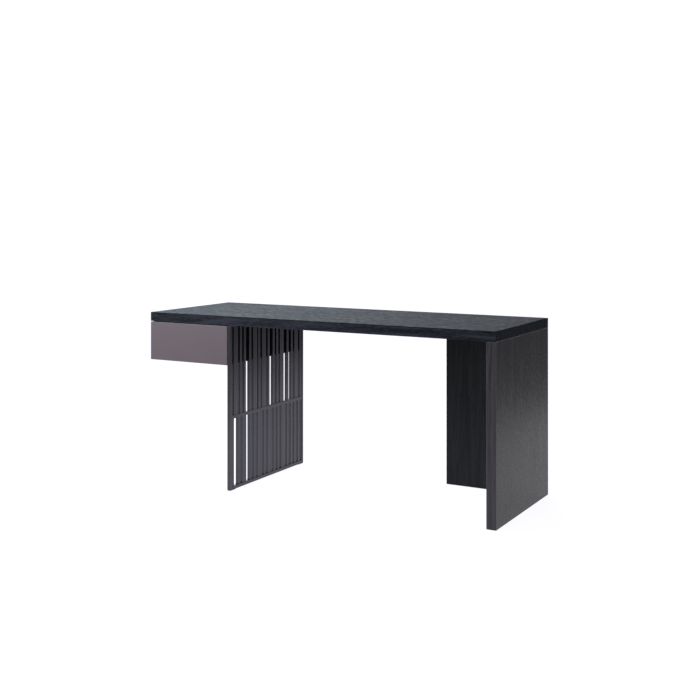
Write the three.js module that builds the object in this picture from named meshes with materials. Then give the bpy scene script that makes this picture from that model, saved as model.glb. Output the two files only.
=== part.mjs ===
// Console table for writing at: a stained oak top carried by an L-shaped panel leg on the right
// and a slatted steel leg on the left, with one drawer hung under the left overhang.
// Millimetres, +Z up, front towards -Y. Origin: on the floor, under the middle of the top.
import * as THREE from "three";

// ---- Driving dimensions ----
const LENGTH = 1650;
const DEPTH = 600;
const HEIGHT = 750;
const BOARD = 40; // thickness of the top and of both leg panels
const BOARD_CHAMFER = 1;
const SEAM = 0.5; // shadow line between the top and the end panel
const GLIDE_HEIGHT = 2; // pads that lift every leg off the floor

const RETURN_WIDTH = 450; // from the right end of the table to the return panel's free edge
const RETURN_INSET = 5; // return panel's back face, in from the back edge of the top

const STEEL_RIGHT = -390; // right face of the slatted leg
const STEEL_DEPTH_X = 16; // section of the leg's frame bars, across the leg
const UPRIGHT_WIDTH = 15;
const RAIL_HEIGHT = 15;
const TOP_BAR_HEIGHT = 5;
const MID_RAIL_BOTTOM = 307;
const SLAT_THICKNESS = 12.5;
const NARROW_SLAT = 16;
const WIDE_SLAT = 32;
const WIDE_GAP_RATIO = 1.8; // a wide gap compared with a narrow one
const MIDDLE_GAP_RATIO = 1.5; // a middle gap compared with a narrow one
const TIGHT_GAP_RATIO = 0.6; // the tightest gap compared with a narrow one

const DRAWER_GAP = 2; // running gap between the drawer and the slatted leg
const DRAWER_TOP_GAP = 3; // under the table top
const FRONT_BOTTOM = 538;
const FRONT_THICKNESS = 18;
const CASE_WALL = 12;
const CASE_LEFT_INSET = 2; // case side behind the left edge of the drawer front
const CASE_RIGHT_GAP = 6; // from the case to the slatted leg
const CASE_FRONT_GAP = 2; // from the case to the back of the drawer front
const CASE_BACK_INSET = 10;
const CASE_FLOOR = { rise: 6, thickness: 8, setback: 20 }; // leaves a finger grip behind the front
const CLEAT = 18; // square cleats that screw the case to the top

const BOX_WALL = 12;
const BOX_LENGTH = 500;
const BOX_HEIGHT = 110;
const BOX_BOTTOM = 562;
const BOX_FLOOR = { thickness: 6, rise: 6, groove: 5, clearance: 0.25 };

const RUNNER = { depth: 12.5, sheet: 1.25, centre: 612, back: 10 };
// Half heights of the three nested channels and how far each reaches from the case wall.
const CASE_MEMBER = { half: 22.5, from: 0, to: 9 };
const MIDDLE_MEMBER = { half: 18, from: 2.25, to: 10.25 };
const BOX_MEMBER = { half: 13, from: 4.75, to: 12.5 };

const DISC_GLIDE_RADIUS = 12;
const GLIDE_EDGE_INSET = 30;

// Slat rhythm from front to back: N narrow slat, W wide slat, . tight gap, - narrow gap,
// ~ middle gap, = wide gap.
const UPPER_RHYTHM = "-W-N-N=N-W.N-W-N=N-N-W=N~N-W-N";
const LOWER_RHYTHM = "N=N-W~N-N-W-N-W-N-N-W-N-N-N-N-";

// ---- Finishes ----
const finish = (color, roughness, metalness) =>
  new THREE.MeshStandardMaterial({ color, roughness, metalness });
const STAINED_OAK = finish(0x2c2f35, 0.55, 0);
const COATED_STEEL = finish(0x3c3d42, 0.4, 0.5);
const TAUPE_LACQUER = finish(0x6b6468, 0.35, 0);
const BLACK_LAMINATE = finish(0x17181a, 0.6, 0);
const GREY_LAMINATE = finish(0x77747a, 0.5, 0);
const ZINC = finish(0xb4b7ba, 0.3, 0.9);
const NYLON = finish(0x141414, 0.7, 0);

// ---- Shapes, each given by its limits along X, Y and Z ----
const middle = ([low, high]) => (low + high) / 2;
const extent = ([low, high]) => high - low;

function named(name, geometry, material) {
  const mesh = new THREE.Mesh(geometry, material);
  mesh.name = name;
  return mesh;
}

function bar(name, material, x, y, z) {
  const mesh = named(name, new THREE.BoxGeometry(extent(x), extent(y), extent(z)), material);
  mesh.position.set(middle(x), middle(y), middle(z));
  return mesh;
}

// A board with its twelve edges broken by a small chamfer.
function board(name, material, x, y, z, chamfer) {
  const halfX = extent(x) / 2 - chamfer;
  const halfY = extent(y) / 2 - chamfer;
  const outline = new THREE.Shape([
    new THREE.Vector2(-halfX, -halfY),
    new THREE.Vector2(halfX, -halfY),
    new THREE.Vector2(halfX, halfY),
    new THREE.Vector2(-halfX, halfY),
  ]);
  const geometry = new THREE.ExtrudeGeometry(outline, {
    depth: extent(z) - 2 * chamfer,
    bevelThickness: chamfer,
    bevelSize: chamfer,
    bevelSegments: 1,
  });
  const mesh = named(name, geometry, material);
  mesh.position.set(middle(x), middle(y), z[0] + chamfer);
  return mesh;
}

// A section drawn in X and Z, run along Y.
function profile(name, material, points, y) {
  const section = new THREE.Shape(points.map(([x, z]) => new THREE.Vector2(x, z)));
  const geometry = new THREE.ExtrudeGeometry(section, { depth: extent(y), bevelEnabled: false });
  geometry.rotateX(Math.PI / 2);
  const mesh = named(name, geometry, material);
  mesh.position.y = y[1];
  return mesh;
}

// ---- Top and panel leg ----
const RIGHT = LENGTH / 2;
const LEFT = -RIGHT;
const BACK = DEPTH / 2;
const FRONT = -BACK;
const UNDERSIDE = HEIGHT - BOARD;
const END_INNER = RIGHT - BOARD;

function topAndPanelLeg() {
  const group = new THREE.Group();
  const returnBack = BACK - RETURN_INSET;
  group.add(
    board("top", STAINED_OAK, [LEFT, RIGHT], [FRONT, BACK], [UNDERSIDE, HEIGHT], BOARD_CHAMFER),
    board(
      "end_panel", STAINED_OAK,
      [END_INNER, RIGHT], [FRONT, BACK], [GLIDE_HEIGHT, UNDERSIDE - SEAM], BOARD_CHAMFER,
    ),
    board(
      "return_panel", STAINED_OAK,
      [RIGHT - RETURN_WIDTH, END_INNER], [returnBack - BOARD, returnBack],
      [GLIDE_HEIGHT, UNDERSIDE], BOARD_CHAMFER,
    ),
  );
  return group;
}

// ---- Slatted steel leg ----
const STEEL_X = [STEEL_RIGHT - STEEL_DEPTH_X, STEEL_RIGHT];
const SLAT_X = [middle(STEEL_X) - SLAT_THICKNESS / 2, middle(STEEL_X) + SLAT_THICKNESS / 2];
const BETWEEN_UPRIGHTS = [FRONT + UPRIGHT_WIDTH, BACK - UPRIGHT_WIDTH];

// Slats of one tier. The gaps share what the slats leave of the width between the uprights.
function slats(prefix, rhythm, z) {
  const count = (sign) => rhythm.split(sign).length - 1;
  const slatTotal = count("N") * NARROW_SLAT + count("W") * WIDE_SLAT;
  const narrowGap =
    (extent(BETWEEN_UPRIGHTS) - slatTotal) /
    (count(".") * TIGHT_GAP_RATIO + count("-") + count("~") * MIDDLE_GAP_RATIO +
      count("=") * WIDE_GAP_RATIO);
  const width = {
    N: NARROW_SLAT, W: WIDE_SLAT,
    ".": narrowGap * TIGHT_GAP_RATIO, "-": narrowGap,
    "~": narrowGap * MIDDLE_GAP_RATIO, "=": narrowGap * WIDE_GAP_RATIO,
  };
  const made = [];
  let start = BETWEEN_UPRIGHTS[0];
  for (const sign of rhythm) {
    const end = start + width[sign];
    if (sign === "N" || sign === "W") {
      const number = String(made.length + 1).padStart(2, "0");
      made.push(bar(prefix + number, COATED_STEEL, SLAT_X, [start, end], z));
    }
    start = end;
  }
  return made;
}

function slattedLeg() {
  const group = new THREE.Group();
  const uprightZ = [GLIDE_HEIGHT, UNDERSIDE];
  const bottomRail = [GLIDE_HEIGHT, GLIDE_HEIGHT + RAIL_HEIGHT];
  const midRail = [MID_RAIL_BOTTOM, MID_RAIL_BOTTOM + RAIL_HEIGHT];
  const topBar = [UNDERSIDE - TOP_BAR_HEIGHT, UNDERSIDE];
  const [inFront, inBack] = BETWEEN_UPRIGHTS;
  group.add(
    bar("leg_front_upright", COATED_STEEL, STEEL_X, [FRONT, inFront], uprightZ),
    bar("leg_rear_upright", COATED_STEEL, STEEL_X, [inBack, BACK], uprightZ),
    bar("leg_bottom_rail", COATED_STEEL, STEEL_X, BETWEEN_UPRIGHTS, bottomRail),
    bar("leg_mid_rail", COATED_STEEL, STEEL_X, BETWEEN_UPRIGHTS, midRail),
    bar("leg_top_bar", COATED_STEEL, STEEL_X, BETWEEN_UPRIGHTS, topBar),
    ...slats("upper_slat_", UPPER_RHYTHM, [midRail[1], topBar[0]]),
    ...slats("lower_slat_", LOWER_RHYTHM, [bottomRail[1], midRail[0]]),
  );
  return group;
}

// ---- Drawer case, hung from the top ----
const CASE_X = [LEFT + CASE_LEFT_INSET, STEEL_X[0] - CASE_RIGHT_GAP];
const CASE_Y = [FRONT + FRONT_THICKNESS + CASE_FRONT_GAP, BACK - CASE_BACK_INSET];
const CASE_INNER_X = [CASE_X[0] + CASE_WALL, CASE_X[1] - CASE_WALL];

function drawerCase() {
  const group = new THREE.Group();
  const sideZ = [FRONT_BOTTOM, UNDERSIDE];
  const innerBack = CASE_Y[1] - CASE_WALL;
  const floorZ = FRONT_BOTTOM + CASE_FLOOR.rise;
  const cleatZ = [UNDERSIDE - CLEAT, UNDERSIDE];
  const cleatY = [CASE_Y[0] + CLEAT, innerBack - CLEAT];
  group.add(
    bar("case_side_left", BLACK_LAMINATE, [CASE_X[0], CASE_INNER_X[0]], CASE_Y, sideZ),
    bar("case_side_right", BLACK_LAMINATE, [CASE_INNER_X[1], CASE_X[1]], CASE_Y, sideZ),
    bar("case_back", BLACK_LAMINATE, CASE_INNER_X, [innerBack, CASE_Y[1]], sideZ),
    bar(
      "case_floor", BLACK_LAMINATE, CASE_INNER_X,
      [CASE_Y[0] + CASE_FLOOR.setback, innerBack], [floorZ, floorZ + CASE_FLOOR.thickness],
    ),
    bar(
      "case_cleat_left", BLACK_LAMINATE,
      [CASE_INNER_X[0], CASE_INNER_X[0] + CLEAT], cleatY, cleatZ,
    ),
    bar(
      "case_cleat_right", BLACK_LAMINATE,
      [CASE_INNER_X[1] - CLEAT, CASE_INNER_X[1]], cleatY, cleatZ,
    ),
  );
  return group;
}

// ---- Drawer: a front screwed to a four-sided box with a floor let into grooves ----
const BOX_X = [CASE_INNER_X[0] + RUNNER.depth, CASE_INNER_X[1] - RUNNER.depth];
const BOX_Y = [FRONT + FRONT_THICKNESS, FRONT + FRONT_THICKNESS + BOX_LENGTH];
const BOX_INNER_X = [BOX_X[0] + BOX_WALL, BOX_X[1] - BOX_WALL];

// Section of a box side with its floor groove; inward is +1 where the groove faces right.
function boxSide(name, outer, inward) {
  const inner = outer + inward * BOX_WALL;
  const bed = inner - inward * BOX_FLOOR.groove;
  const top = BOX_BOTTOM + BOX_HEIGHT;
  const grooveLow = BOX_BOTTOM + BOX_FLOOR.rise - BOX_FLOOR.clearance;
  const grooveHigh = BOX_BOTTOM + BOX_FLOOR.rise + BOX_FLOOR.thickness + BOX_FLOOR.clearance;
  const section = [
    [outer, BOX_BOTTOM], [inner, BOX_BOTTOM], [inner, grooveLow], [bed, grooveLow],
    [bed, grooveHigh], [inner, grooveHigh], [inner, top], [outer, top],
  ];
  return profile(name, GREY_LAMINATE, section, BOX_Y);
}

function drawer() {
  const group = new THREE.Group();
  const floorZ = BOX_BOTTOM + BOX_FLOOR.rise;
  const floorReach = BOX_FLOOR.groove - BOX_FLOOR.clearance;
  const backZ = floorZ + BOX_FLOOR.thickness + BOX_FLOOR.clearance;
  group.add(
    board(
      "drawer_front", TAUPE_LACQUER,
      [LEFT, STEEL_X[0] - DRAWER_GAP], [FRONT, FRONT + FRONT_THICKNESS],
      [FRONT_BOTTOM, UNDERSIDE - DRAWER_TOP_GAP], BOARD_CHAMFER,
    ),
    boxSide("drawer_side_left", BOX_X[0], 1),
    boxSide("drawer_side_right", BOX_X[1], -1),
    bar(
      "drawer_back", GREY_LAMINATE,
      BOX_INNER_X, [BOX_Y[1] - BOX_WALL, BOX_Y[1]], [backZ, BOX_BOTTOM + BOX_HEIGHT],
    ),
    bar(
      "drawer_floor", GREY_LAMINATE,
      [BOX_INNER_X[0] - floorReach, BOX_INNER_X[1] + floorReach],
      BOX_Y, [floorZ, floorZ + BOX_FLOOR.thickness],
    ),
  );
  return group;
}

// ---- Runners: on each side a case member, a middle member and a box member ----
// Section of one channel. wall is the case wall's face and inward points at the drawer box.
// The web stands at `from` and the lips reach `to`, or the other way round when opens is -1.
function channel(wall, inward, { half, from, to }, opens) {
  const web = opens > 0 ? from : to;
  const lip = opens > 0 ? to : from;
  const at = (reach) => wall + inward * reach;
  const inside = web + opens * RUNNER.sheet;
  const low = RUNNER.centre - half;
  const high = RUNNER.centre + half;
  return [
    [at(web), low], [at(lip), low], [at(lip), low + RUNNER.sheet],
    [at(inside), low + RUNNER.sheet], [at(inside), high - RUNNER.sheet],
    [at(lip), high - RUNNER.sheet], [at(lip), high], [at(web), high],
  ];
}

function runners() {
  const group = new THREE.Group();
  const y = [BOX_Y[0] + CASE_FRONT_GAP, BOX_Y[1] - RUNNER.back];
  for (const [side, wall, inward] of [["left", CASE_INNER_X[0], 1], ["right", CASE_INNER_X[1], -1]])
    group.add(
      profile(`runner_${side}_case_member`, ZINC, channel(wall, inward, CASE_MEMBER, 1), y),
      profile(`runner_${side}_middle_member`, ZINC, channel(wall, inward, MIDDLE_MEMBER, 1), y),
      profile(`runner_${side}_box_member`, ZINC, channel(wall, inward, BOX_MEMBER, -1), y),
    );
  return group;
}

// ---- Glides ----
function discGlide(name, x, y) {
  const disc = new THREE.CylinderGeometry(DISC_GLIDE_RADIUS, DISC_GLIDE_RADIUS, GLIDE_HEIGHT, 24);
  const mesh = named(name, disc.rotateX(Math.PI / 2), NYLON);
  mesh.position.set(x, y, GLIDE_HEIGHT / 2);
  return mesh;
}

function glides() {
  const group = new THREE.Group();
  const padX = [STEEL_X[0] + 1, STEEL_X[1] - 1];
  const padLength = 40;
  const padZ = [0, GLIDE_HEIGHT];
  const endX = RIGHT - BOARD / 2;
  group.add(
    bar("leg_glide_front", NYLON, padX, [FRONT + 2, FRONT + 2 + padLength], padZ),
    bar("leg_glide_rear", NYLON, padX, [BACK - 2 - padLength, BACK - 2], padZ),
    discGlide("end_panel_glide_front", endX, FRONT + GLIDE_EDGE_INSET),
    discGlide("end_panel_glide_rear", endX, BACK - GLIDE_EDGE_INSET),
    discGlide(
      "return_panel_glide",
      RIGHT - RETURN_WIDTH + GLIDE_EDGE_INSET, BACK - RETURN_INSET - BOARD / 2,
    ),
  );
  return group;
}

const table = new THREE.Group();
table.add(topAndPanelLeg(), slattedLeg(), drawerCase(), drawer(), runners(), glides());
export default table;
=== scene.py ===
"""Console table: an oak board on a slatted steel leg and an L-shaped oak leg, with one lacquered drawer.

Every length is in metres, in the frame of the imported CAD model, and every place comes from its nodes.
"""
import logging
import math
from dataclasses import dataclass, field
from enum import Enum
from typing import Callable

import bmesh
import bpy
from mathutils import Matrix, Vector


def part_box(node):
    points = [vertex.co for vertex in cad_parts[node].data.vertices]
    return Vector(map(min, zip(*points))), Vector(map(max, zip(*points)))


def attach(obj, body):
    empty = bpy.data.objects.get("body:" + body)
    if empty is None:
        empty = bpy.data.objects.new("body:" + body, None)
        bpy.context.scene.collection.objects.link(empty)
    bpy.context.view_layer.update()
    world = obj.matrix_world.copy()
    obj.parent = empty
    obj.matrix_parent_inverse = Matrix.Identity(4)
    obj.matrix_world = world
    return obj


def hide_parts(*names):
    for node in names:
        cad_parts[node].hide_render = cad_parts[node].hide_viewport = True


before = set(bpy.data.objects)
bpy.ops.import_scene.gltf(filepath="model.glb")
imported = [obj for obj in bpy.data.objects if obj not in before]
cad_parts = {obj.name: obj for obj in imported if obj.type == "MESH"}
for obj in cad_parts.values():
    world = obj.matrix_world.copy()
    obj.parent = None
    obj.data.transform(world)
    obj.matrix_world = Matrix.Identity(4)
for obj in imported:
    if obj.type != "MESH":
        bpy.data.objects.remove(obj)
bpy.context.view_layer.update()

LOG = logging.getLogger("console_table")
Colour = tuple[float, float, float]
Span = tuple[float, float]
Piece = bpy.types.Object
Box = tuple[Vector, Vector]
EdgeTest = Callable[[Vector, Vector], bool]

TABLE = "table"
DRAWER = "drawer"
SIDES = ("left", "right")
ARRIS = "arris"  # face attribute: 1 on eased edges, 0 on the flat faces between them
MM = 0.001
SHARP = math.radians(30)  # edges that turn more than this are eased
SMOOTH = math.radians(50)  # faces that turn less than this shade as one
SMOOTH_HEAD = math.radians(35)  # the same, on screw heads
FLAT_TURN = math.radians(1)  # faces that turn less than this are one flat face
MERGE_GAP = 0.01 * MM
ALL_FACES = 1.0  # eased width that marks every sloping face of a small piece


# ---- Shader graphs ----
class Wire:
    """A node's output, on which Python's operators add Math nodes."""

    def __init__(self, recipe: "Graph", socket: bpy.types.NodeSocket) -> None:
        """Remembers the socket and the recipe it belongs to."""
        self.recipe = recipe
        self.socket = socket

    def _maths(self, operation: str, first: "Wire | float", second: "Wire | float") -> "Wire":
        """One Math node on two values."""
        return self.recipe.add("Math", {"operation": operation}, {0: first, 1: second})

    def __add__(self, other: "Wire | float") -> "Wire":
        """Sum."""
        return self._maths("ADD", self, other)

    __radd__ = __add__

    def __sub__(self, other: "Wire | float") -> "Wire":
        """Difference."""
        return self._maths("SUBTRACT", self, other)

    def __rsub__(self, other: "Wire | float") -> "Wire":
        """Difference, reflected."""
        return self._maths("SUBTRACT", other, self)

    def __mul__(self, other: "Wire | float") -> "Wire":
        """Product."""
        return self._maths("MULTIPLY", self, other)

    __rmul__ = __mul__

    def fraction(self) -> "Wire":
        """The part after the decimal point."""
        return self._maths("FRACT", self, 0.0)

    def least(self, other: "Wire | float") -> "Wire":
        """The smaller of two values."""
        return self._maths("MINIMUM", self, other)

    def most(self, other: "Wire | float") -> "Wire":
        """The larger of two values."""
        return self._maths("MAXIMUM", self, other)

    def rise(self, low: float, high: float) -> "Wire":
        """A smooth step from 0 to 1.

        Args:
            low: value at which the step starts.
            high: value at which it ends; below low, the step falls instead.

        Returns:
            The stepped value.
        """
        ends = (low, high, 0.0, 1.0) if low < high else (high, low, 1.0, 0.0)
        sockets = {0: self, 1: ends[0], 2: ends[1], 3: ends[2], 4: ends[3]}
        return self.recipe.add("MapRange", {"interpolation_type": "SMOOTHSTEP"}, sockets)


class Graph:
    """A node tree, with short ways to add and link nodes."""

    def __init__(self, tree: bpy.types.NodeTree) -> None:
        """Starts from an empty tree."""
        self.tree = tree
        self.tree.nodes.clear()

    def plug(self, socket: bpy.types.NodeSocket, value: object) -> None:
        """Links a wire to a socket, or sets the socket to a plain value.

        Args:
            socket: the input to fill.
            value: a wire, a number, a vector or a colour of three numbers.
        """
        if isinstance(value, Wire):
            self.tree.links.new(value.socket, socket)
        elif socket.type == "RGBA":
            socket.default_value = (*value, 1.0)
        else:
            socket.default_value = value

    def add(
        self, kind: str, settings: dict | None = None, sockets: dict | None = None,
        output: int | None = 0
    ) -> Wire | None:
        """Adds a shader node.

        Args:
            kind: the node's type, without its ShaderNode prefix.
            settings: the node's own properties, set first.
            sockets: values or wires for its inputs, by name or number.
            output: number of the output to return.

        Returns:
            The chosen output, or None for a node that has none.
        """
        node = self.tree.nodes.new("ShaderNode" + kind)
        for key, value in (settings or {}).items():
            setattr(node, key, value)
        for key, value in (sockets or {}).items():
            self.plug(node.inputs[key], value)
        return None if output is None else Wire(self, node.outputs[output])

    def place(self) -> Wire:
        """Object coordinates, in metres."""
        return self.add("TexCoord", output=3)

    def stretch(self, vector: Wire, scale: Colour) -> Wire:
        """A vector times another, number by number."""
        return self.add("VectorMath", {"operation": "MULTIPLY"}, {0: vector, 1: scale})

    def along(self, vector: Wire, direction: Colour) -> Wire:
        """How far a vector reaches in a direction."""
        return self.add("VectorMath", {"operation": "DOT_PRODUCT"}, {0: vector, 1: direction}, 1)

    def noise(self, vector: Wire, scale: float, detail: float = 2.0, distortion: float = 0.0) -> Wire:
        """Noise from 0 to 1.

        Args:
            vector: where it is read.
            scale: bumps per metre.
            detail: octaves.
            distortion: how much it swirls.

        Returns:
            The noise value.
        """
        sockets = {"Vector": vector, "Scale": scale, "Detail": detail, "Distortion": distortion}
        return self.add("TexNoise", None, sockets)

    def blend(self, factor: Wire | float, first: object, second: object) -> Wire:
        """Two colours mixed: first at 0, second at 1."""
        sockets = {0: factor, 6: first, 7: second}
        return self.add("Mix", {"data_type": "RGBA", "clamp_factor": True}, sockets, 2)

    def eased(self) -> Wire:
        """1 on the eased edges of a piece and 0 elsewhere."""
        return self.add("Attribute", {"attribute_name": ARRIS}, None, 2)


class Recipe(Graph):
    """The nodes of one material, with a Principled shader at their end."""

    def __init__(self, name: str) -> None:
        """Starts a material with only its shader and output."""
        self.material = bpy.data.materials.new(name)
        self.material.use_nodes = True
        super().__init__(self.material.node_tree)
        self.shader = self.tree.nodes.new("ShaderNodeBsdfPrincipled")
        output = self.tree.nodes.new("ShaderNodeOutputMaterial")
        self.tree.links.new(self.shader.outputs[0], output.inputs["Surface"])

    def relief(self, height: Wire, depth: float, strength: float = 1.0) -> None:
        """Gives the surface a relief, depth metres from its lowest to its highest point."""
        sockets = {"Height": height, "Distance": depth, "Strength": strength}
        self.plug(self.shader.inputs["Normal"], self.add("Bump", None, sockets))

    def finish(self, **sockets: object) -> bpy.types.Material:
        """Plugs the shader's sockets.

        Args:
            sockets: values or wires by socket name, with underscores for its spaces.

        Returns:
            The finished material.
        """
        for key, value in sockets.items():
            self.plug(self.shader.inputs[key.replace("_", " ")], value)
        return self.material


# ---- Finishes ----
class Grain(Enum):
    """Which way the grain of a board runs, and the two directions across it."""

    LENGTHWISE = ((1, 0, 0), (0, 1, 0), (0, 0, 1))
    UPRIGHT_DEEP = ((0, 0, 1), (0, 1, 0), (1, 0, 0))
    UPRIGHT_WIDE = ((0, 0, 1), (1, 0, 0), (0, 1, 0))


@dataclass(frozen=True)
class StainedOak:
    """Oak veneer, stained blue-black: open pores, soft growth bands, darkened arrises, and arrises paler
    from wear and from a painted highlight.

    A run is how many bumps a pattern has per metre, along the grain and across it.
    """

    name: str
    grain: Grain
    box: Box
    dark: Colour
    light: Colour
    rubbed_and_highlit: Colour
    inked: Colour = (0.004, 0.004, 0.005)
    roughness: float = 0.44
    shine: float = 0.15
    cloud_weight: float = 0.45
    streak_weight: float = 0.62
    streak_relief: float = 0.70
    streak_gloss: float = 0.32
    glint_weight: float = 0.08
    glint_run: float = 16.0
    tint: Colour = (1.0, 1.0, 1.0)
    depth: float = 0.26 * MM
    ink_top: bool = False
    lipping: Colour | None = None
    sway: float = 0.045
    rings: float = 74.0
    sway_run: Span = (1.3, 5.0)
    cloud_run: Span = (1.1, 12.0)
    streak_run: Span = (3.2, 70.0)
    fibre_run: Span = (14.0, 480.0)
    pore_run: Span = (34.0, 900.0)
    fleck_run: Span = (9.0, 150.0)
    glint_across: float = 150.0
    arris_band: Span = (2.6 * MM, 0.4 * MM)
    rim_band: Span = (4.2 * MM, 1.2 * MM)
    lipping_band: Span = (0.5 * MM, 0.2 * MM)

    def _scale(self, along: float, across: float) -> Colour:
        """Coordinates' scale that is along in the grain and across in the other two directions."""
        run = self.grain.value[0]
        return tuple(along if step else across for step in run)

    def _grained(self, recipe: Recipe, vector: Wire, run: Span, detail: float) -> Wire:
        """Noise drawn out along the grain."""
        return recipe.noise(recipe.stretch(vector, self._scale(*run)), 1.0, detail)

    def _arris(self, recipe: Recipe, place: Wire) -> tuple[Wire, Wire]:
        """Distances that mark the board's edges.

        Args:
            recipe: the material's nodes.
            place: Object coordinates.

        Returns:
            1 near every arris, and 1 in the band round the upper arrises.
        """
        low, high = self.box
        near = []
        for axis in range(3):
            unit = tuple(1.0 if axis == k else 0.0 for k in range(3))
            value = recipe.along(place, unit)
            gap = (value - low[axis]).least(high[axis] - value)
            near.append(gap.rise(*self.arris_band))
        edge = (near[0] * near[1]).most(near[1] * near[2]).most(near[0] * near[2])
        height = recipe.along(place, (0.0, 0.0, 1.0))
        start, end = self.rim_band
        rim = near[0].most(near[1]) * height.rise(high[2] - start, high[2] - end)
        return edge, rim

    def make(self) -> bpy.types.Material:
        """Builds the material.

        Returns:
            The material, with its nodes in place.
        """
        recipe = Recipe(self.name)
        place = recipe.place()
        coarse = recipe.stretch(place, self._scale(*self.sway_run))
        sway = recipe.add("TexNoise", None, {"Vector": coarse, "Scale": 1.0, "Detail": 2.0}, 1)
        sway = recipe.add("VectorMath", {"operation": "SUBTRACT"}, {0: sway, 1: (0.5, 0.5, 0.5)})
        sway = recipe.add("VectorMath", {"operation": "SCALE"}, {0: sway, "Scale": self.sway})
        swayed = recipe.add("VectorMath", {"operation": "ADD"}, {0: place, 1: sway})

        _, wide, narrow = self.grain.value
        lean = tuple(a + 0.35 * b for a, b in zip(wide, narrow))
        ring = (recipe.along(swayed, lean) * self.rings).fraction()
        late = ring.rise(0.35, 0.92) * ring.rise(1.0, 0.93)
        cloud = self._grained(recipe, swayed, self.cloud_run, 3.0)
        streak = self._grained(recipe, swayed, self.streak_run, 4.0)
        fibre = self._grained(recipe, swayed, self.fibre_run, 3.0)
        pore = self._grained(recipe, swayed, self.pore_run, 1.0)
        pore = pore.rise(0.43, 0.35) * (1.0 - 0.55 * late)
        glint = self._grained(recipe, swayed, (self.glint_run, self.glint_across), 2.0).rise(0.40, 0.66)
        fleck = self._grained(recipe, swayed, self.fleck_run, 0.0).rise(0.70, 0.80)

        tone = self.cloud_weight * cloud.rise(0.30, 0.70) + self.streak_weight * streak.rise(0.36, 0.66)
        tone = tone + 0.26 * fibre + 0.16 * late - 0.24
        colour = recipe.blend(tone, self.dark, self.light)
        colour = recipe.blend(fleck * 0.30, colour, self.light)
        # Painted highlight: glint flecks lighten the colour as sparkle in the sheen; their roughness and
        # relief below are real.
        colour = recipe.blend(glint * self.glint_weight, colour, self.light)
        colour = recipe.blend(pore * 0.80, colour, self.inked)
        edge, rim = self._arris(recipe, place)
        # Painted highlight and wear: near every arris the colour blends towards the pale arris colour, for
        # edges that catch the light as well as worn ones.
        wear_and_highlight = edge * (0.45 + 0.75 * streak)
        if self.ink_top:
            colour = recipe.blend(rim * 0.92, colour, self.inked)
        else:
            colour = recipe.blend(wear_and_highlight * 0.8, colour, self.rubbed_and_highlit)
        if self.lipping:
            face = self.box[0].y
            start, end = self.lipping_band
            front = recipe.along(place, (0.0, 1.0, 0.0)).rise(face + start, face + end)
            colour = recipe.blend(front * (0.35 + 0.65 * tone), colour, self.lipping)
        height = 0.55 + 0.25 * fibre + 0.20 * late - 0.55 * pore + self.streak_relief * streak
        height = height + 0.9 * self.glint_weight * glint
        recipe.relief(height, self.depth, 0.6)
        gloss = self.roughness + 0.14 * pore + self.streak_gloss * (streak - 0.5) + 0.16 * (cloud - 0.5)
        gloss = gloss - 0.05 * edge - 0.5 * self.glint_weight * (glint - 0.5)
        return recipe.finish(
            Base_Color=colour, Roughness=gloss, IOR=1.46, Specular_IOR_Level=self.shine,
            Specular_Tint=self.tint,
        )


@dataclass(frozen=True)
class MetallicCoat:
    """Graphite metallic coat on steel: fine flake, slight cloudiness, scuffs, and eased edges painted
    brighter as a highlight.
    """

    name: str = "graphite_metallic_coat"
    dark: Colour = (0.044, 0.043, 0.051)
    light: Colour = (0.078, 0.077, 0.091)
    scuff_and_edge_highlight: Colour = (0.150, 0.148, 0.165)

    def make(self) -> bpy.types.Material:
        """Builds the material.

        Returns:
            The material, with its nodes in place.
        """
        recipe = Recipe(self.name)
        place = recipe.place()
        cloud = recipe.noise(place, 7.0, 3.0, 0.6)
        flake = recipe.noise(place, 1400.0, 1.0)
        peel = recipe.noise(place, 520.0, 2.0)
        drawn = recipe.noise(recipe.stretch(place, (160.0, 160.0, 5.0)), 1.0, 3.0)
        scuff = drawn.rise(0.62, 0.80)
        tone = 0.45 * cloud + 0.35 * drawn + 0.3 * flake - 0.05
        colour = recipe.blend(tone, self.dark, self.light)
        # The bright colour serves two marks: scuffs, which are real wear, and a painted highlight on the
        # eased edges.
        colour = recipe.blend(scuff * 0.15, colour, self.scuff_and_edge_highlight)
        colour = recipe.blend(recipe.eased() * (0.15 + 0.5 * cloud), colour, self.scuff_and_edge_highlight)
        recipe.relief(0.7 * peel + 0.3 * flake, 0.03 * MM, 0.45)
        gloss = 0.19 + 0.08 * cloud + 0.10 * scuff
        return recipe.finish(Base_Color=colour, Roughness=gloss, Metallic=0.85 + 0.1 * flake)


@dataclass(frozen=True)
class SatinLacquer:
    """Satin taupe lacquer on board: very fine peel, a hint of cloud, and slightly paler eased edges, a
    painted highlight.
    """

    name: str = "taupe_satin_lacquer"
    deep: Colour = (0.086, 0.066, 0.081)
    pale: Colour = (0.101, 0.079, 0.096)
    edge: Colour = (0.180, 0.150, 0.172)

    def make(self) -> bpy.types.Material:
        """Builds the material.

        Returns:
            The material, with its nodes in place.
        """
        recipe = Recipe(self.name)
        place = recipe.place()
        cloud = recipe.noise(place, 5.0, 3.0, 0.4)
        peel = recipe.noise(place, 480.0, 2.0)
        dust = recipe.noise(place, 2300.0, 0.0).rise(0.70, 0.78)
        colour = recipe.blend(cloud, self.deep, self.pale)
        # The edge colour serves two marks: dust specks, and a painted highlight on the eased edges.
        colour = recipe.blend(dust * 0.22, colour, self.edge)
        colour = recipe.blend(recipe.eased() * (0.35 + 0.4 * cloud), colour, self.edge)
        recipe.relief(peel, 0.03 * MM, 0.45)
        gloss = 0.42 + 0.07 * cloud - 0.03 * peel
        return recipe.finish(Base_Color=colour, Roughness=gloss, Coat_Weight=0.12, Coat_Roughness=0.3)


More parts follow.
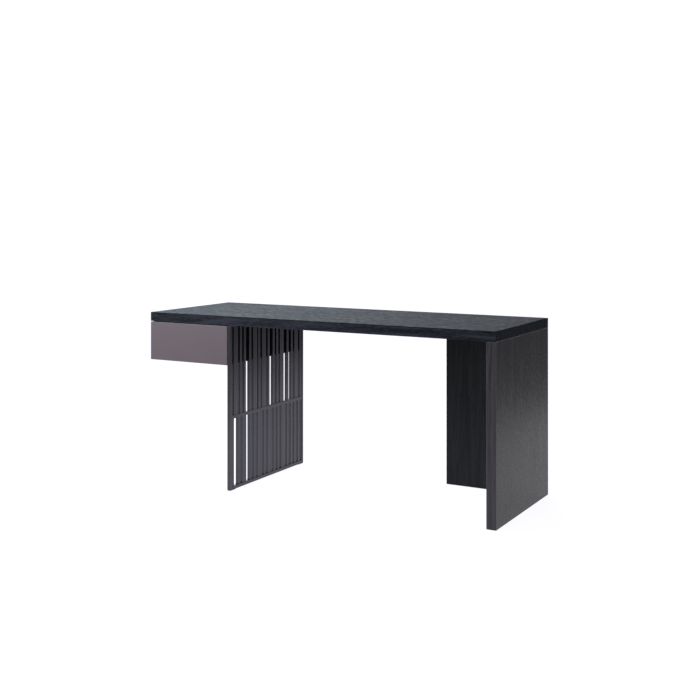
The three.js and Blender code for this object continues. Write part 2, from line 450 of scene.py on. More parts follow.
@dataclass(frozen=True)
class Laminate:
    """Melamine-faced board with a fine linen press and a plain, slightly glossier edge band."""

    name: str
    ground: Colour
    thread: Colour
    band: Colour
    roughness: float
    shine: float

    def make(self) -> bpy.types.Material:
        """Builds the material.

        Returns:
            The material, with its nodes in place.
        """
        recipe = Recipe(self.name)
        place = recipe.place()
        cloud = recipe.noise(place, 9.0, 2.0)
        runs = [
            recipe.noise(recipe.stretch(place, scale), 1.0, 1.0)
            for scale in ((60.0, 1500.0, 1500.0), (1500.0, 60.0, 1500.0), (1500.0, 1500.0, 60.0))
        ]
        weave = runs[0].most(runs[1]).most(runs[2]).rise(0.45, 0.75)
        colour = recipe.blend(0.25 * cloud + 0.55 * weave, self.ground, self.thread)
        colour = recipe.blend(recipe.eased() * 0.7, colour, self.band)
        recipe.relief(weave, 0.05 * MM, 0.5)
        gloss = self.roughness + 0.12 * weave + 0.05 * cloud
        return recipe.finish(Base_Color=colour, Roughness=gloss, Specular_IOR_Level=self.shine)


@dataclass(frozen=True)
class ZincPlate:
    """Bright zinc plating with drawn lines, faint yellow-blue passivation and dull spots."""

    name: str = "zinc_plate"
    cool: Colour = (0.32, 0.34, 0.37)
    warm: Colour = (0.40, 0.38, 0.33)
    dull: Colour = (0.17, 0.17, 0.18)

    def make(self) -> bpy.types.Material:
        """Builds the material.

        Returns:
            The material, with its nodes in place.
        """
        recipe = Recipe(self.name)
        place = recipe.place()
        drawn = recipe.noise(recipe.stretch(place, (1400.0, 18.0, 1400.0)), 1.0, 2.0)
        film = recipe.noise(place, 38.0, 3.0, 0.8)
        spot = recipe.noise(place, 260.0, 2.0).rise(0.60, 0.72)
        colour = recipe.blend(film, self.cool, self.warm)
        colour = recipe.blend(spot * 0.5 + 0.15 * drawn, colour, self.dull)
        recipe.relief(drawn, 0.02 * MM, 0.4)
        gloss = 0.27 + 0.14 * drawn + 0.18 * spot
        return recipe.finish(Base_Color=colour, Roughness=gloss, Metallic=1.0 - 0.15 * spot)


@dataclass(frozen=True)
class MouldedNylon:
    """Moulded nylon with a spark-eroded grain and scuffed rims."""

    name: str = "black_nylon"
    dark: Colour = (0.014, 0.014, 0.015)
    scuffed: Colour = (0.085, 0.085, 0.088)

    def make(self) -> bpy.types.Material:
        """Builds the material.

        Returns:
            The material, with its nodes in place.
        """
        recipe = Recipe(self.name)
        place = recipe.place()
        spark = recipe.noise(place, 1900.0, 2.0)
        rub = recipe.noise(place, 130.0, 3.0).rise(0.5, 0.75)
        colour = recipe.blend(0.25 * spark + rub * (0.2 + 0.6 * recipe.eased()), self.dark, self.scuffed)
        recipe.relief(spark, 0.06 * MM, 0.6)
        return recipe.finish(Base_Color=colour, Roughness=0.55 + 0.2 * spark - 0.1 * rub)


@dataclass(frozen=True)
class GlueLine:
    """The pale edge of the veneer that shows in the seam over the end panel."""

    name: str = "veneer_seam"
    pale: Colour = (0.740, 0.660, 0.600)
    dark: Colour = (0.420, 0.360, 0.320)

    def make(self) -> bpy.types.Material:
        """Builds the material.

        Returns:
            The material, with its nodes in place.
        """
        recipe = Recipe(self.name)
        place = recipe.place()
        patch = recipe.noise(recipe.stretch(place, (90.0, 22.0, 90.0)), 1.0, 4.0)
        fine = recipe.noise(place, 900.0, 1.0)
        colour = recipe.blend(patch.rise(0.35, 0.7), self.dark, self.pale)
        recipe.relief(fine, 0.05 * MM, 0.5)
        return recipe.finish(Base_Color=colour, Roughness=0.55 + 0.2 * fine)


# ---- Modelling ----
class Bench:
    """Shapes pieces with Blender's own operators, one at a time."""

    @staticmethod
    def pick(*pieces: Piece) -> None:
        """Selects only these pieces and makes the first one active.

        Args:
            pieces: the pieces to select.
        """
        bpy.ops.object.select_all(action="DESELECT")
        for piece in pieces:
            piece.select_set(True)
        bpy.context.view_layer.objects.active = pieces[0]

    @staticmethod
    def settle(piece: Piece) -> Piece:
        """Puts a piece's place into its mesh, so that its object sits at the origin.

        Args:
            piece: the piece.

        Returns:
            The same piece.
        """
        Bench.pick(piece)
        bpy.ops.object.transform_apply(location=True, rotation=True, scale=True)
        return piece

    @staticmethod
    def named(name: str) -> Piece:
        """Names the piece that was just added.

        Args:
            name: the name for the object and its mesh.

        Returns:
            The piece.
        """
        piece = bpy.context.active_object
        piece.name = name
        piece.data.name = name
        return piece

    @staticmethod
    def block(name: str, low: Vector, high: Vector) -> Piece:
        """Adds a block between two corners.

        Args:
            name: the piece's name.
            low: its lowest corner.
            high: its highest corner.

        Returns:
            The piece, at the origin, with its place in its mesh.
        """
        bpy.ops.object.select_all(action="DESELECT")
        bpy.ops.mesh.primitive_cube_add(size=1.0, location=(low + high) / 2)
        piece = Bench.named(name)
        piece.scale = high - low
        return Bench.settle(piece)

    @staticmethod
    def disc(name: str, centre: Vector, radius: float, height: float, sides: int = 32) -> Piece:
        """Adds an upright disc.

        Args:
            name: the piece's name.
            centre: its middle.
            radius: its radius.
            height: its thickness.
            sides: how many sides stand for the circle.

        Returns:
            The disc, at the origin, with its place in its mesh.
        """
        bpy.ops.object.select_all(action="DESELECT")
        bpy.ops.mesh.primitive_cylinder_add(
            vertices=sides, radius=radius, depth=height, location=centre
        )
        return Bench.settle(Bench.named(name))

    @staticmethod
    def from_node(name: str, node: str) -> Piece:
        """A piece made from a merged copy of a CAD node's mesh.

        Args:
            name: the piece's name.
            node: the CAD node.

        Returns:
            The piece, with flat faces in one polygon each.
        """
        piece = bpy.data.objects.new(name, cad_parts[node].data.copy())
        piece.data.name = name
        bpy.context.scene.collection.objects.link(piece)
        with Editing(piece) as edit:
            bpy.ops.mesh.select_all(action="SELECT")
            bpy.ops.mesh.remove_doubles(threshold=MERGE_GAP)
            bpy.ops.mesh.dissolve_limited(angle_limit=FLAT_TURN)
            edit.clear()
        return piece

    @staticmethod
    def copy(piece: Piece, name: str, shift: Vector) -> Piece:
        """A copy with its own mesh.

        Args:
            piece: the piece to copy.
            name: the copy's name.
            shift: how far the copy is moved.

        Returns:
            The copy.
        """
        twin = bpy.data.objects.new(name, piece.data.copy())
        twin.data.name = name
        bpy.context.scene.collection.objects.link(twin)
        twin.location = shift
        return Bench.settle(twin)

    @staticmethod
    def join(name: str, parts: list[Piece]) -> Piece:
        """Makes several pieces into one.

        Args:
            name: the joined piece's name.
            parts: the pieces that go into it.

        Returns:
            The joined piece.
        """
        Bench.pick(*parts)
        bpy.ops.object.join()
        return Bench.named(name)

    @staticmethod
    def ease(
        piece: Piece, width: float, segments: int = 2, chosen: EdgeTest | None = None
    ) -> Piece:
        """Rounds a piece's sharp edges and marks the rounded faces.

        Args:
            piece: the piece.
            width: how far from the edge the rounding starts.
            segments: faces across the rounding.
            chosen: says for the ends of an edge whether it is rounded; every sharp edge if left out.

        Returns:
            The same piece, smooth over its rounded edges and flat between them.
        """
        with Editing(piece) as edit:
            count = edit.edges(chosen)
            if count:
                bpy.ops.mesh.bevel(
                    offset=width, segments=segments, profile=0.5, affect="EDGES", clamp_overlap=True
                )
        Bench.mark(piece, width)
        Bench.pick(piece)
        bpy.ops.object.shade_smooth_by_angle(angle=SMOOTH)
        piece.modifiers.new("even_faces", "WEIGHTED_NORMAL").keep_sharp = True
        bpy.ops.object.modifier_apply(modifier="even_faces")
        return piece

    @staticmethod
    def mark(piece: Piece, width: float) -> None:
        """Writes 1 on the narrow sloping faces of the rounded edges and 0 on all the others.

        Args:
            piece: the piece.
            width: how far from the edge the rounding starts.
        """
        values = [
            1.0 if max(abs(part) for part in face.normal) < 0.9995 and face.area < 4.0 * width else 0.0
            for face in piece.data.polygons
        ]
        layer = piece.data.attributes.new(ARRIS, "FLOAT", "FACE")
        layer.data.foreach_set("value", values)

    @staticmethod
    def cut(piece: Piece, tool: Piece) -> Piece:
        """Takes a tool's shape out of a piece and removes the tool.

        Args:
            piece: the piece that is cut.
            tool: the shape that is taken out.

        Returns:
            The same piece.
        """
        Bench.pick(piece)
        modifier = piece.modifiers.new("cut", "BOOLEAN")
        modifier.operation = "DIFFERENCE"
        modifier.solver = "EXACT"
        modifier.object = tool
        bpy.ops.object.modifier_apply(modifier="cut")
        bpy.data.objects.remove(tool)
        return piece


class Editing:
    """Edit mode on one piece, with ways to select by place or normal."""

    def __init__(self, piece: Piece) -> None:
        """Remembers the piece."""
        self.piece = piece

    def __enter__(self) -> "Editing":
        """Goes into edit mode with nothing selected.

        Returns:
            The editing session itself.
        """
        Bench.pick(self.piece)
        bpy.ops.object.mode_set(mode="EDIT")
        self.clear()
        return self

    def __exit__(self, *_: object) -> None:
        """Goes back to object mode."""
        bpy.ops.object.mode_set(mode="OBJECT")

    def clear(self) -> None:
        """Deselects every vertex, edge and face."""
        bpy.ops.mesh.select_all(action="DESELECT")

    def edges(self, chosen: EdgeTest | None) -> int:
        """Selects sharp edges.

        Args:
            chosen: test on an edge's two ends; None takes every sharp edge.

        Returns:
            How many edges are selected.
        """
        bpy.ops.mesh.select_mode(type="EDGE")
        mesh = bmesh.from_edit_mesh(self.piece.data)
        count = 0
        for edge in mesh.edges:
            sharp = len(edge.link_faces) == 2 and edge.calc_face_angle(0.0) > SHARP
            ends = [vertex.co for vertex in edge.verts]
            wanted = sharp and (chosen is None or chosen(*ends))
            edge.select_set(wanted)
            count += wanted
        bmesh.update_edit_mesh(self.piece.data)
        return count


def runs_along(axis: int) -> EdgeTest:
    """A test that passes edges parallel to an axis.

    Args:
        axis: 0, 1 or 2 for x, y or z.

    Returns:
        The test, on an edge's two ends.
    """

    def test(first: Vector, second: Vector) -> bool:
        """True if the edge's ends differ only along the axis."""
        step = second - first
        return abs(step[axis]) > 0.999 * step.length

    return test


class Towards(Enum):
    """Direction a screw's head faces, and the turn that points a head made facing up that way."""

    DOWN = (math.pi, 0.0, 0.0)
    LEFT = (0.0, -math.pi / 2, 0.0)
    RIGHT = (0.0, math.pi / 2, 0.0)
    BACK = (-math.pi / 2, 0.0, 0.0)


@dataclass
class Screw:
    """A low pan head with a cross recess, modelled once and copied to each place."""

    radius: float = 3.6 * MM
    height: float = 1.1 * MM
    slot_length: float = 3.8 * MM
    slot_width: float = 0.9 * MM
    slot_depth: float = 0.7 * MM
    crown: float = 0.6 * MM
    sides: int = 20
    head: Piece | None = None

    def _head(self) -> Piece:
        """The master head, facing up from the origin.

        Returns:
            The head, modelled at the first call.
        """
        if self.head is None:
            centre = Vector((0, 0, self.height / 2))
            head = Bench.disc("screw_head", centre, self.radius, self.height, self.sides)
            with Editing(head) as edit:
                edit.edges(lambda a, b: min(a.z, b.z) > self.height * 0.9)
                bpy.ops.mesh.bevel(offset=self.crown, segments=3, affect="EDGES")
            for turn in range(2):
                half = Vector((self.slot_length, self.slot_width, 0)) / 2
                if turn:
                    half = Vector((half.y, half.x, 0))
                top = Vector((0, 0, self.height))
                low = top - half - Vector((0, 0, self.slot_depth))
                Bench.cut(head, Bench.block("slot", low, top + half + Vector((0, 0, MM))))
            Bench.mark(head, ALL_FACES)
            Bench.pick(head)
            bpy.ops.object.shade_smooth_by_angle(angle=SMOOTH_HEAD)
            self.head = head
        return self.head

    def drive(self, name: str, places: list[Vector], way: Towards) -> Piece:
        """Copies the head to each place.

        Args:
            name: name of the joined piece.
            places: where the heads sit.
            way: the direction the heads face.

        Returns:
            One piece with a head at every place.
        """
        copies = []
        for number, spot in enumerate(places):
            twin = Bench.copy(self._head(), f"{name}_{number}", Vector())
            twin.rotation_euler = way.value
            twin.location = spot
            copies.append(Bench.settle(twin))
        return Bench.join(name, copies)

    def put_away(self) -> None:
        """Removes the master head."""
        if self.head is not None:
            bpy.data.objects.remove(self.head)
            self.head = None


# ---- Sub-assemblies ----
class Finishes:
    """Every material, made once."""

    def __init__(self) -> None:
        """Makes the materials."""
        # The three oak finishes are copies of one stained oak, each toned to the light on its board: the
        # return panel's darker copy is painted shade, and the top's and end panel's tones hold part of
        # their light too.
        self.top_oak = StainedOak(
            "stained_oak_top", Grain.LENGTHWISE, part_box("top"),
            dark=(0.007, 0.008, 0.011), light=(0.036, 0.041, 0.056), rubbed_and_highlit=(0.06, 0.06, 0.07),
            roughness=0.52, shine=0.045, cloud_weight=0.25, streak_weight=0.52, glint_weight=0.36,
            glint_run=38.0, ink_top=True,
        ).make()
        self.end_oak = StainedOak(
            "stained_oak_end_panel", Grain.UPRIGHT_DEEP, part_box("end_panel"),
            dark=(0.003, 0.003, 0.004), light=(0.032, 0.028, 0.034), rubbed_and_highlit=(0.190, 0.180, 0.180),
            roughness=0.24, shine=0.14, tint=(0.96, 0.86, 1.0), streak_relief=0.30, streak_gloss=0.12,
            depth=0.18 * MM, lipping=(0.060, 0.058, 0.066),
        ).make()
        self.shaded_return_oak = StainedOak(
            "stained_oak_return_panel_shaded", Grain.UPRIGHT_WIDE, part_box("return_panel"),
            dark=(0.004, 0.005, 0.006), light=(0.016, 0.018, 0.023), rubbed_and_highlit=(0.05, 0.05, 0.055),
        ).make()
        self.steel = MetallicCoat().make()
        self.lacquer = SatinLacquer().make()
        self.black = Laminate(
            "black_laminate_linen", ground=(0.002, 0.002, 0.003), thread=(0.006, 0.006, 0.007),
            band=(0.012, 0.012, 0.013), roughness=0.6, shine=0.12,
        ).make()
        self.grey = Laminate(
            "grey_laminate_linen", ground=(0.135, 0.135, 0.138), thread=(0.215, 0.215, 0.218),
            band=(0.250, 0.250, 0.250), roughness=0.45, shine=0.4,
        ).make()
        self.zinc = ZincPlate().make()
        self.nylon = MouldedNylon().make()
        self.seam = GlueLine().make()


class Slot(Enum):
    """Material slots of the record."""

    OAK = "stained_oak"
    STEEL = "coated_steel"
    LACQUER = "taupe_lacquer"
    BLACK = "black_laminate"
    GREY = "grey_laminate"
    ZINC = "zinc"
    NYLON = "nylon"


@dataclass
class SubAssembly:
    """Pieces that are made together, and how each one is dressed and tied to the frame."""

    finishes: Finishes
    screw: Screw
    pieces: list[Piece] = field(default_factory=list)

    def dress(
        self, piece: Piece, finish: bpy.types.Material, slot: Slot, body: str, *nodes: str
    ) -> Piece:
        """Gives a piece its material and body.

        Args:
            piece: the piece.
            finish: its material.
            slot: the record's slot it belongs to; not used.
            body: the CAD body it rides on.
            nodes: the CAD nodes it stands for.

        Returns:
            The same piece.
        """
        piece.data.materials.clear()
        piece.data.materials.append(finish)
        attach(piece, body)
        if nodes:
            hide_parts(*nodes)
        self.pieces.append(piece)
        return piece

    def build(self) -> None:
        """Builds every piece of the sub-assembly."""
        raise NotImplementedError


@dataclass
class TableTop(SubAssembly):
    """The long oak board."""

    arris: float = 1.0 * MM

    def build(self) -> None:
        """Builds the board and eases every edge."""
        low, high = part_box("top")
        board = Bench.ease(Bench.block("top_board", low, high), self.arris, 3)
        self.dress(board, self.finishes.top_oak, Slot.OAK, TABLE, "top")


@dataclass
class OakLeg(SubAssembly):
    """The L-shaped leg: end panel, return panel and the seam under the top."""

    arris: float = 1.2 * MM
    seam_inset: float = 0.02 * MM
    seam_depth: float = 4.0 * MM
    seam_arris: float = 0.1 * MM

    def build(self) -> None:
        """Builds both panels and the strip of glued veneer that shows in the seam."""
        low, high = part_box("end_panel")
        panel = Bench.ease(Bench.block("end_panel_board", low, high), self.arris, 3)
        self.dress(panel, self.finishes.end_oak, Slot.OAK, TABLE, "end_panel")
        panel = Bench.ease(Bench.block("return_panel_board", *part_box("return_panel")), self.arris, 3)
        self.dress(panel, self.finishes.shaded_return_oak, Slot.OAK, TABLE, "return_panel")
        bottom = Vector((low.x + self.seam_depth, low.y + self.seam_depth, high.z))
        top = Vector((high.x - self.seam_inset, high.y - self.seam_depth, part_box("top")[0].z))
        seam = Bench.ease(Bench.block("end_panel_seam", bottom, top), self.seam_arris, 1)
        self.dress(seam, self.finishes.seam, Slot.OAK, TABLE)


@dataclass
class SlattedLeg(SubAssembly):
    """The welded steel leg: two posts, three rails and two tiers of flat slats."""

    bar_arris: float = 0.9 * MM
    slat_arris: float = 0.8 * MM
    weld: float = 1.6 * MM
    weld_inset: float = 2.0 * MM
    weld_round: float = 1.3 * MM
    screws: int = 4

    @staticmethod
    def _upright_or_foot(foot: float) -> EdgeTest:
        """A test that passes a post's upright edges and those round its foot."""
        upright = runs_along(2)
        return lambda first, second: upright(first, second) or max(first.z, second.z) < foot

    def _bars(self) -> None:
        """Posts and rails, eased along their length only, because their ends are ground flush."""
        rows = (
            ("leg_front_post", "leg_front_upright", 2),
            ("leg_rear_post", "leg_rear_upright", 2),
            ("leg_foot_rail", "leg_bottom_rail", 1),
            ("leg_middle_rail", "leg_mid_rail", 1),
            ("leg_head_bar", "leg_top_bar", 1),
        )
        for name, node, axis in rows:
            bar = Bench.block(name, *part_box(node))
            chosen = runs_along(axis)
            if axis == 2:
                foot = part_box(node)[0].z + MM
                chosen = self._upright_or_foot(foot)
            Bench.ease(bar, self.bar_arris, 3, chosen)
            self.dress(bar, self.finishes.steel, Slot.STEEL, TABLE, node)

    def _tier(self, tier: str) -> None:
        """One tier of slats: each width is modelled once and copied to its places.

        Args:
            tier: upper or lower.
        """
        nodes = sorted(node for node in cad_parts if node.startswith(tier + "_slat_"))
        masters: dict[int, Piece] = {}
        slats = []
        for node in nodes:
            low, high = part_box(node)
            width = round((high.y - low.y) / MM)
            shift = Vector((0, low.y, 0))
            if width not in masters:
                flat = Bench.block(f"{tier}_slat_{width}_mm", low - shift, high - shift)
                masters[width] = Bench.ease(flat, self.slat_arris, 2, runs_along(2))
            slats.append(Bench.copy(masters[width], f"{node}_bar", shift))
        for master in masters.values():
            bpy.data.objects.remove(master)
        self.dress(Bench.join(f"{tier}_slats", slats), self.finishes.steel, Slot.STEEL, TABLE, *nodes)

    def _outer_edge(self, face: float, joint: float) -> EdgeTest:
        """A test that passes the edge of a weld bead away from both the slat and the rail.

        Args:
            face: x of the bead's outer face.
            joint: z of the joint between slat and rail.

        Returns:
            The test, on an edge's two ends.
        """

        def test(first: Vector, second: Vector) -> bool:
            """True if both ends are on the outer face and clear of the joint."""
            outside = max(first.x, second.x) < face + 0.1 * MM
            return outside and min(abs(first.z - joint), abs(second.z - joint)) > self.weld / 2

        return test

    def _welds(self) -> None:
        """A small fillet of weld at both ends of every slat, on the side that faces the drawer."""
        beads = []
        for node in sorted(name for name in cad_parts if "_slat_" in name):
            low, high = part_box(node)
            for number, (height, lift) in enumerate(((low.z, 1), (high.z, -1))):
                foot = min(height, height + lift * self.weld)
                start = Vector((low.x - self.weld, low.y + self.weld_inset, foot))
                end = Vector((low.x, high.y - self.weld_inset, foot + self.weld))
                bead = Bench.block(f"{node}_weld_{number}", start, end)
                with Editing(bead) as edit:
                    edit.edges(self._outer_edge(start.x, height))
                    bpy.ops.mesh.bevel(offset=self.weld_round, segments=3, affect="EDGES")
                Bench.mark(bead, ALL_FACES)
                beads.append(bead)
        welds = Bench.join("slat_welds", beads)
        bpy.ops.object.shade_smooth_by_angle(angle=SMOOTH)
        self.dress(welds, self.finishes.steel, Slot.STEEL, TABLE)

    def _fixings(self) -> None:
        """Screws up through the head bar, each in a gap between two slats."""
        low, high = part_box("leg_top_bar")
        slats = sorted(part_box(n)[0].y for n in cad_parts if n.startswith("upper_slat_"))
        ends = sorted(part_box(n)[1].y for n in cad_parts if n.startswith("upper_slat_"))
        gaps = sorted(((b - a, (a + b) / 2) for a, b in zip(ends, slats[1:])), reverse=True)
        spots = [Vector(((low.x + high.x) / 2, y, low.z)) for _, y in gaps[: self.screws]]
        piece = self.screw.drive("head_bar_screws", spots, Towards.DOWN)
        self.dress(piece, self.finishes.steel, Slot.STEEL, TABLE)

    def build(self) -> None:
        """Builds the frame, both tiers, their welds and the fixing screws."""
        self._bars()
        self._tier("upper")
        self._tier("lower")
        self._welds()
        self._fixings()


@dataclass
class DrawerCase(SubAssembly):
    """The black case that hangs under the top: walls, back, floor and two cleats."""

    arris: float = 0.6 * MM
    screws: int = 3
    screw_inset: float = 60 * MM

    def build(self) -> None:
        """Builds the panels and the screws that hold the case to the top."""
        rows = (
            ("case_left_wall", "case_side_left"),
            ("case_right_wall", "case_side_right"),
            ("case_rear_wall", "case_back"),
            ("case_floor_board", "case_floor"),
            ("case_cleat_left_block", "case_cleat_left"),
            ("case_cleat_right_block", "case_cleat_right"),
        )
        for name, node in rows:
            panel = Bench.ease(Bench.block(name, *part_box(node)), self.arris, 2)
            self.dress(panel, self.finishes.black, Slot.BLACK, TABLE, node)
        spots = []
        for side in SIDES:
            low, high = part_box(f"case_cleat_{side}")
            step = (high.y - low.y - 2 * self.screw_inset) / (self.screws - 1)
            for number in range(self.screws):
                y = low.y + self.screw_inset + number * step
                spots.append(Vector(((low.x + high.x) / 2, y, low.z)))
        piece = self.screw.drive("cleat_screws", spots, Towards.DOWN)
        self.dress(piece, self.finishes.zinc, Slot.ZINC, TABLE)


@dataclass
class Drawer(SubAssembly):
    """The lacquered front and the grey box behind it."""

    front_arris: float = 1.4 * MM
    box_arris: float = 0.7 * MM
    grip: float = 7.0 * MM
    buffer_radius: float = 4.0 * MM
    buffer_height: float = 1.4 * MM
    buffer_crown: float = 0.7 * MM
    buffer_left: float = 7.5 * MM
    buffer_right: float = 9.5 * MM
    buffer_drop: float = 9.0 * MM
    screw_inset: float = 14.0 * MM

    def _front(self) -> None:
        """The front, with its lower rear edge rounded away for the fingers."""
        low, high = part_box("drawer_front")
        front = Bench.block("drawer_front_panel", low, high)
        with Editing(front) as edit:
            edit.edges(lambda a, b: max(a.z, b.z) < low.z + MM and min(a.y, b.y) > high.y - MM)
            bpy.ops.mesh.bevel(offset=self.grip, segments=5, affect="EDGES")
        Bench.ease(front, self.front_arris, 3)
        self.dress(front, self.finishes.lacquer, Slot.LACQUER, DRAWER, "drawer_front")

    def _box(self) -> None:
        """Sides with their grooves, back and floor."""
        rows = (
            ("drawer_box_left_side", "drawer_side_left"),
            ("drawer_box_right_side", "drawer_side_right"),
            ("drawer_box_back_wall", "drawer_back"),
            ("drawer_box_floor", "drawer_floor"),
        )
        for name, node in rows:
            panel = Bench.ease(Bench.from_node(name, node), self.box_arris, 2)
            self.dress(panel, self.finishes.grey, Slot.GREY, DRAWER, node)

    def _fixings(self) -> None:
        """Screws through the sides into the back, and soft buffers behind the front."""
        back_low, back_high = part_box("drawer_back")
        for side, way in zip(SIDES, (Towards.LEFT, Towards.RIGHT)):
            low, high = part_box(f"drawer_side_{side}")
            face = low.x if side == "left" else high.x
            heights = (back_low.z + self.screw_inset, back_high.z - self.screw_inset)
            spots = [Vector((face, (back_low.y + back_high.y) / 2, z)) for z in heights]
            piece = self.screw.drive(f"drawer_{side}_back_screws", spots, way)
            self.dress(piece, self.finishes.zinc, Slot.ZINC, DRAWER)
        low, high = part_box("drawer_front")
        discs = []
        z = high.z - self.buffer_drop
        for number, x in enumerate((low.x + self.buffer_left, high.x - self.buffer_right)):
            disc = Bench.disc(f"buffer_{number}", Vector(), self.buffer_radius, self.buffer_height, 24)
            with Editing(disc) as edit:
                edit.edges(lambda a, b: min(a.z, b.z) > 0)
                bpy.ops.mesh.bevel(offset=self.buffer_crown, segments=3, affect="EDGES")
            Bench.mark(disc, ALL_FACES)
            disc.rotation_euler = Towards.BACK.value
            disc.location = Vector((x, high.y + self.buffer_height / 2, z))
            discs.append(Bench.settle(disc))
        buffers = Bench.join("drawer_front_buffers", discs)
        bpy.ops.object.shade_smooth_by_angle(angle=SMOOTH)
        self.dress(buffers, self.finishes.nylon, Slot.NYLON, DRAWER)

    def build(self) -> None:
        """Builds the front, the box and its fixings."""
        self._front()
        self._box()
        self._fixings()


@dataclass
class Runners(SubAssembly):
    """The two ball-bearing runners: three nested members, ball strips and screws on each side."""

    arris: float = 0.3 * MM
    sheet: float = 1.25 * MM
    ball_radius: float = 1.5 * MM
    ball_pitch: float = 14 * MM
    balls: int = 12
    cage_width: float = 5.0 * MM
    cage_sheet: float = 0.7 * MM
    cage_arris: float = 0.15 * MM
    screw_inset: float = 40 * MM

    def _members(self, side: str) -> None:
        """The three sheet-steel members of one side.

        Args:
            side: left or right.
        """
        bodies = {"case": TABLE, "middle": f"runner_middle_{side}", "box": DRAWER}
        for member, body in bodies.items():
            node = f"runner_{side}_{member}_member"
            piece = Bench.ease(Bench.from_node(f"runner_{side}_{member}_channel", node), self.arris, 2)
            self.dress(piece, self.finishes.zinc, Slot.ZINC, body, node)

    def _strip(self, name: str, centre: Vector) -> Piece:
        """A row of balls in a flat cage, along the runner.

        Args:
            name: the piece's name.
            centre: the middle of the row.

        Returns:
            The row.
        """
        reach = Vector((self.cage_width, self.balls * self.ball_pitch, self.cage_sheet)) / 2
        cage = Bench.block(f"{name}_cage", centre - reach, centre + reach)
        row = [Bench.ease(cage, self.cage_arris, 1)]
        bpy.ops.object.select_all(action="DESELECT")
        bpy.ops.mesh.primitive_uv_sphere_add(segments=12, ring_count=8, radius=self.ball_radius)
        bpy.ops.object.shade_smooth()
        ball = Bench.named(f"{name}_ball")
        for number in range(self.balls):
            step = (number + 0.5 - self.balls / 2) * self.ball_pitch
            row.append(Bench.copy(ball, f"{name}_ball_{number}", centre + Vector((0, step, 0))))
        bpy.data.objects.remove(ball)
        return Bench.join(name, row)

    def _balls(self, side: str) -> None:
        """Strips between the members, where they still overlap with the drawer fully out.

        Args:
            side: left or right.
        """
        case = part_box(f"runner_{side}_case_member")
        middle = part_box(f"runner_{side}_middle_member")
        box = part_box(f"runner_{side}_box_member")
        margin = self.ball_pitch * (1 + self.balls / 2)
        strips = []
        for outer, inner, y in ((case, middle, middle[1].y - margin), (middle, box, middle[0].y + margin)):
            x = (max(outer[0].x, inner[0].x) + min(outer[1].x, inner[1].x)) / 2
            below = (outer[0].z + self.sheet + inner[0].z) / 2
            above = (outer[1].z - self.sheet + inner[1].z) / 2
            for z in (below, above):
                strips.append(self._strip(f"runner_{side}_strip_{len(strips)}", Vector((x, y, z))))
        piece = Bench.join(f"runner_{side}_ball_strips", strips)
        self.dress(piece, self.finishes.zinc, Slot.ZINC, f"runner_middle_{side}")

    def _screws(self, side: str, way: Towards) -> None:
        """Screws that hold the box member to the drawer's side.

        Args:
            side: left or right.
            way: the direction the heads face.
        """
        low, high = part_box(f"runner_{side}_box_member")
        face = high.x - self.sheet if way is Towards.LEFT else low.x + self.sheet
        middle = (low + high) / 2
        spots = [
            Vector((face, y, middle.z))
            for y in (low.y + self.screw_inset, middle.y, high.y - self.screw_inset)
        ]
        piece = self.screw.drive(f"runner_{side}_box_screws", spots, way)
        self.dress(piece, self.finishes.zinc, Slot.ZINC, DRAWER)

    def build(self) -> None:
        """Builds both runners."""
        for side, way in zip(SIDES, (Towards.LEFT, Towards.RIGHT)):
            self._members(side)
            self._balls(side)
            self._screws(side, way)


@dataclass
class Glides(SubAssembly):
    """The nylon pads and discs under the legs."""

    arris: float = 0.5 * MM

    def build(self) -> None:
        """Builds every glide with a rounded rim."""
        for node in sorted(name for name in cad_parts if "glide" in name):
            low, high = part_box(node)
            name = f"{node}_pad"
            if node.startswith("leg"):
                pad = Bench.block(name, low, high)
            else:
                pad = Bench.disc(name, (low + high) / 2, (high.x - low.x) / 2, high.z - low.z, 40)
            Bench.ease(pad, self.arris, 3)
            self.dress(pad, self.finishes.nylon, Slot.NYLON, TABLE, node)


# ---- Studio ----
@dataclass
class Softbox:
    """One square area light, aimed at a point."""

    name: str
    place: Colour
    aim: Colour
    size: float
    power: float

    def build(self) -> None:
        """Adds the light."""
        bpy.ops.object.light_add(type="AREA", location=self.place)
        lamp = bpy.context.active_object
        lamp.name = self.name
        lamp.data.shape = "SQUARE"
        lamp.data.size = self.size
        lamp.data.energy = self.power
        direction = Vector(self.aim) - Vector(self.place)
        lamp.rotation_euler = direction.to_track_quat("-Z", "Y").to_euler()


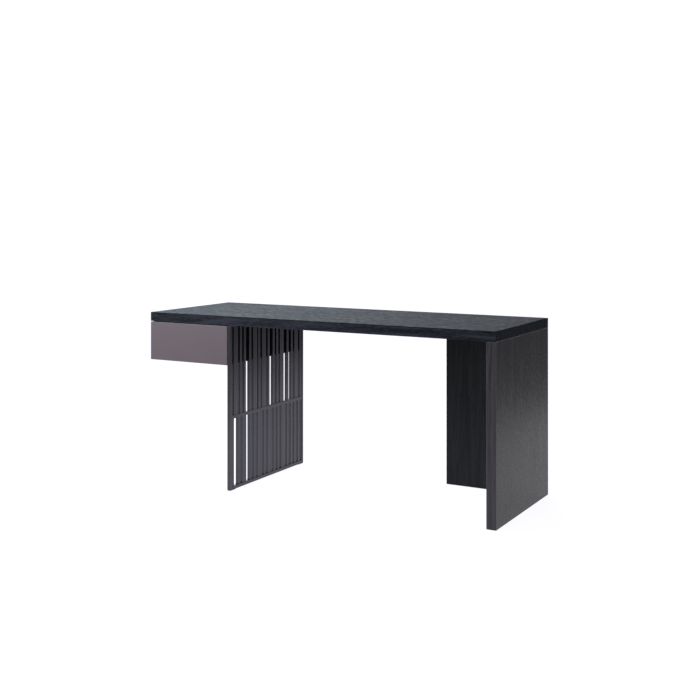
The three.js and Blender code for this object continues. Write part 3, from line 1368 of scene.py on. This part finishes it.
@dataclass
class Studio:
    """A self-lit pale floor, a dome with a white backdrop, soft lights and the camera."""

    floor_size: float = 40.0
    camera_place: Colour = (2.32117, -4.12560, 1.19666)
    camera_pitch: float = math.radians(0.129)
    camera_yaw: float = math.radians(29.029)
    lens: float = 55.784
    sensor: float = 36.0
    shift_y: float = -0.2
    half_width: float = math.radians(17.9)
    dim_from: float = 0.05
    dim_to: float = 0.80
    left_dim_to: float = 1.50
    floor_left: Colour = (0.42, 0.42, 0.43)
    floor_bright: Colour = (0.96, 0.955, 1.0)
    floor_dim: Colour = (0.20, 0.20, 0.21)
    dome: float = 0.055
    window_way: Colour = (-0.82, 0.42, 0.38)
    window: float = 1.9
    backdrop: float = 1.1

    def _inside(self, recipe: Recipe, place: Wire, side: int, far: float) -> Wire:
        """Marks the floor on the table's side of a line from the camera's place.

        Args:
            recipe: the floor's nodes.
            place: Object coordinates.
            side: 1 for the line to the right of the table, -1 for the one to its left.
            far: how far past the line the mark has faded out.

        Returns:
            1 on the table's side, 0 farther past the line than far.
        """
        yaw = self.camera_yaw - side * self.half_width
        across = (side * math.cos(yaw), side * math.sin(yaw), 0.0)
        start = sum(a * b for a, b in zip(self.camera_place, across))
        return (recipe.along(place, across) - start).rise(far, self.dim_from)

    def _floor(self) -> None:
        """The pale floor, lit from within like a light table, and dimmer to both sides of the table."""
        bpy.ops.object.select_all(action="DESELECT")
        bpy.ops.mesh.primitive_plane_add(size=self.floor_size, location=(0, 0, 0))
        floor = Bench.named("studio_floor")
        recipe = Recipe("pale_floor")
        place = recipe.place()
        colour = recipe.blend(recipe.noise(place, 3.0, 3.0), (0.16, 0.16, 0.16), (0.18, 0.18, 0.18))
        glow = self._inside(recipe, place, 1, self.dim_to)
        light = recipe.blend(glow, self.floor_dim, self.floor_bright)
        glow = self._inside(recipe, place, -1, self.left_dim_to)
        light = recipe.blend(glow, self.floor_left, light)
        floor.data.materials.append(recipe.finish(
            Base_Color=colour, Roughness=0.8, Specular_IOR_Level=0.1,
            Emission_Color=light, Emission_Strength=1.0,
        ))

    def _world(self) -> None:
        """A dim dome with a white backdrop behind the table and a cool soft window above it."""
        world = bpy.data.worlds.new("studio_dome")
        bpy.context.scene.world = world
        world.use_nodes = True
        graph = Graph(world.node_tree)
        way = graph.add("TexCoord")
        ahead = (-math.sin(self.camera_yaw), math.cos(self.camera_yaw), 0.0)
        height = graph.along(way, (0.0, 0.0, 1.0))
        backdrop = graph.along(way, ahead).rise(0.82, 0.92) * height.rise(0.34, 0.20)
        window = graph.along(way, tuple(Vector(self.window_way).normalized())).rise(0.66, 0.97)
        strength = self.dome + self.backdrop * backdrop + self.window * window
        colour = graph.blend(window, (1.0, 1.0, 1.0), (0.70, 0.86, 1.0))
        light = graph.add("Background", None, {"Color": colour, "Strength": strength})
        graph.add("OutputWorld", None, {"Surface": light}, None)

    def _lights(self) -> None:
        """Soft boxes: one above, one from the front left and one high in front."""
        for lamp in (
            Softbox("overhead_softbox", (-1.4, 0.9, 2.9), (-0.2, 0.1, 0.7), 2.0, 50.0),
            Softbox("front_softbox", (-1.6, -1.7, 1.4), (-0.6, -0.3, 0.6), 1.0, 32.0),
            Softbox("front_high_softbox", (0.4, -2.2, 2.6), (0.2, -0.3, 0.4), 1.0, 22.0),
        ):
            lamp.build()

    def _camera(self) -> None:
        """The camera, level enough that upright edges stay upright."""
        bpy.ops.object.camera_add(
            location=self.camera_place, rotation=(math.pi / 2 + self.camera_pitch, 0, self.camera_yaw)
        )
        camera = bpy.context.active_object
        camera.name = "camera"
        camera.data.sensor_width = self.sensor
        camera.data.lens = self.lens
        camera.data.shift_y = self.shift_y
        camera.data.clip_end = 100.0
        camera.data.dof.use_dof = False
        bpy.context.scene.camera = camera

    def build(self) -> None:
        """Sets up the floor, dome, lights, camera and a plain colour response."""
        self._floor()
        self._world()
        self._lights()
        self._camera()
        bpy.context.scene.view_settings.view_transform = "Standard"


def main() -> None:
    logging.basicConfig(level=logging.INFO, format="%(name)s %(message)s")
    finishes = Finishes()
    screw = Screw()
    for kind in (TableTop, OakLeg, SlattedLeg, DrawerCase, Drawer, Runners, Glides):
        assembly = kind(finishes, screw)
        assembly.build()
        for piece in assembly.pieces:
            LOG.info("%s: %s, %d faces", kind.__name__, piece.name, len(piece.data.polygons))
    screw.put_away()
    Studio().build()


if __name__ == "__main__":
    main()
